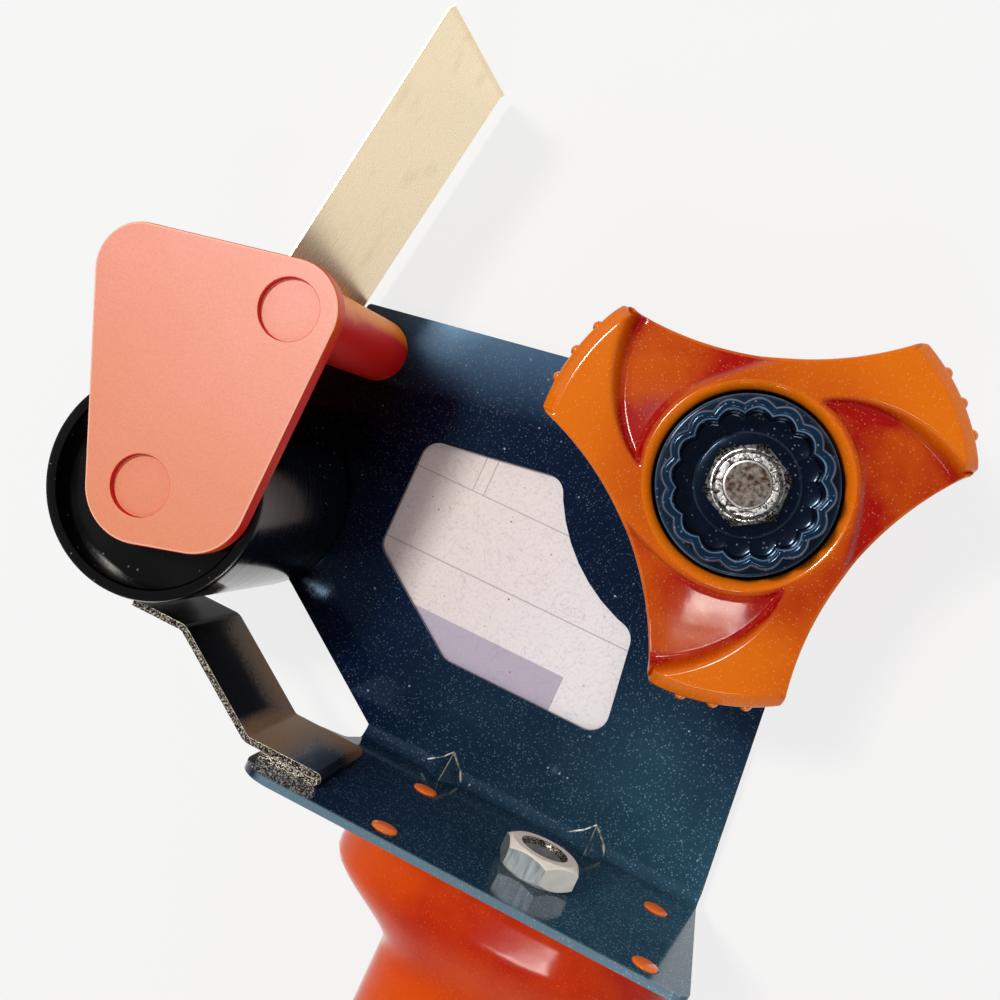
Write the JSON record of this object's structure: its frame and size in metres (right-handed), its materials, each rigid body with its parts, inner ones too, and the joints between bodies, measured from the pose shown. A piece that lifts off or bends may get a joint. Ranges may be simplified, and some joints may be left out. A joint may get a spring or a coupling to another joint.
{
  "type": "packing tape dispenser",
  "caption": "Hand-held packing tape dispenser: pressed steel frame, lobed tape hub with brake knob, front roller with guard, steel wiper, serrated blade and moulded grip.",
  "frame": {"origin": "on the hub axis, on the flat outer face of the spindle's head, which the dispenser lies on", "axes": "+Z along the hub and roller axes towards the open side, +X to the rear, +Y away from the handle"},
  "size_m": [0.1528, 0.2456, 0.0645],
  "materials": {
    "enamel": "glossy blue-black enamel",
    "tongue_black": "glossy black paint",
    "label_paper": "matte paper",
    "orange_gloss": "glossy moulded plastic",
    "coral_grain": "fine-grained moulded plastic",
    "navy_gloss": "glossy moulded plastic",
    "roller_black": "glossy moulded plastic",
    "chrome": "bright plated steel",
    "steel": "zinc plated steel",
    "wiper_steel": "polished spring steel",
    "friction_pad": "plain nylon"
  },
  "bodies": {
    "frame_body": {"frame": "enamel", "tape_tongue": "tongue_black", "side_label": "label_paper", "handle": "orange_gloss", "handle_bolt": "chrome", "handle_bolt_washer": "steel", "handle_nut": "chrome", "hub_spindle": "steel", "hub_thrust_washer": "friction_pad", "brake_disc": "steel", "brake_spring": "steel", "cheek_plate": "coral_grain", "cheek_screws": "steel", "wiper_foot": "wiper_steel", "cutter_blade": "wiper_steel", "blade_screws": "steel", "blade_nuts": "steel"},
    "tape_hub": {"hub": "orange_gloss", "hub_bush": "friction_pad"},
    "brake_carrier": {"spring_cap_washer": "steel"},
    "brake_dial": {"brake_knob": "navy_gloss", "brake_nut": "chrome"},
    "front_roller": {"roller": "roller_black"},
    "wiper_flap": {"wiper_plate": "wiper_steel"}
  },
  "joints": [
    {"name": "hub_spin", "type": "hinge", "parent": "frame_body", "child": "tape_hub", "pos_m": [0, 0, 0.03], "axis": [0, 0, 1], "continuous": true},
    {"name": "roller_spin", "type": "hinge", "parent": "frame_body", "child": "front_roller", "pos_m": [-0.0953, -0.0442, 0.03], "axis": [0, 0, 1], "continuous": true},
    {"name": "knob_advance", "type": "slide", "parent": "frame_body", "child": "brake_carrier", "axis": [0, 0, 1], "range_m": [-0.0025, 0.00187], "deforming": ["brake_spring"]},
    {"name": "knob_turn", "type": "hinge", "parent": "brake_carrier", "child": "brake_dial", "pos_m": [0, 0, 0.055], "axis": [0, 0, 1], "range_deg": [-720, 540]},
    {"name": "wiper_flex", "type": "hinge", "parent": "frame_body", "child": "wiper_flap", "pos_m": [-0.08991, 0.00098, 0.03], "axis": [0, 0, -1], "range_deg": [0, 20], "stiffness_Nm_per_rad": 0.3}
  ],
  "couplings": [
    {"joint": "knob_turn", "follows": "knob_advance", "rad_per_m": 5026.5}
  ]
}
